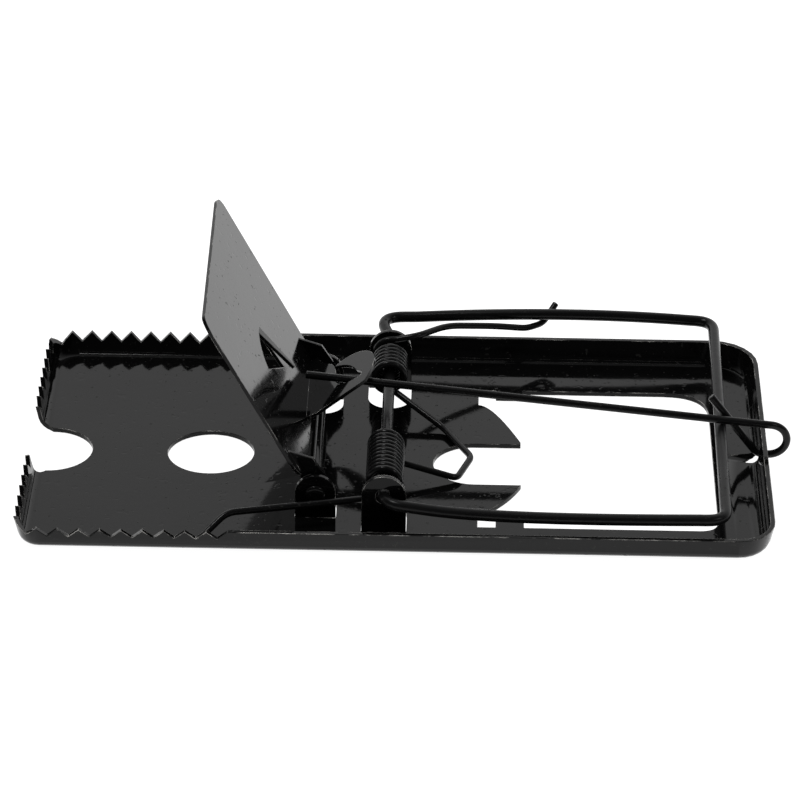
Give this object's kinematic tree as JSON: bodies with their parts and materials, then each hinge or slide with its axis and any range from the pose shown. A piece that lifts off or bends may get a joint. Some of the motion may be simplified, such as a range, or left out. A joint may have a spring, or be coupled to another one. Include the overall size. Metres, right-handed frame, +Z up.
{
  "type": "snap mouse trap",
  "caption": "All-metal snap trap: shallow pressed tray with toothed rim, sprung wire kill bar, hold-down rod and a hooked, tilting bait treadle, shown set.",
  "frame": {"origin": "middle of the tray's underside, half way between its folds", "axes": "+X along the tray from the toothed bait end to the end where the hold-down rod is hooked in, +Y across it to the back, +Z up"},
  "size_m": [0.1017, 0.0589, 0.0299],
  "materials": {
    "tray_lacquer": "high-gloss black stoving lacquer on pressed steel sheet",
    "pin_lacquer": "black lacquered steel pin with upset heads",
    "treadle_lacquer": "high-gloss black lacquer on thinner steel sheet",
    "bar_lacquer": "black lacquered steel wire",
    "spring_lacquer": "black lacquered spring wire",
    "rod_lacquer": "black lacquered steel wire"
  },
  "bodies": {
    "tray": {"base_tray": "tray_lacquer", "treadle_pin": "pin_lacquer", "torsion_spring": "spring_lacquer"},
    "kill_bar": {"kill_bar": "bar_lacquer", "spring_bar_leg": "spring_lacquer"},
    "treadle": {"treadle": "treadle_lacquer"},
    "hold_down_rod": {"hold_down_rod": "rod_lacquer"}
  },
  "joints": [
    {"name": "kill_bar_hinge", "type": "hinge", "parent": "tray", "child": "kill_bar", "pos_m": [-0.0014, 0, 0.00595], "axis": [0, -1, 0], "range_deg": [0, 182]},
    {"name": "treadle_hinge", "type": "hinge", "parent": "tray", "child": "treadle", "pos_m": [-0.0104, 0, 0.0042], "axis": [0, -1, 0], "range_deg": [0, 62]},
    {"name": "rod_hinge", "type": "hinge", "parent": "tray", "child": "hold_down_rod", "pos_m": [0.0479, 0, 0.0014], "axis": [0, 1, 0], "range_deg": [0, 30]}
  ]
}
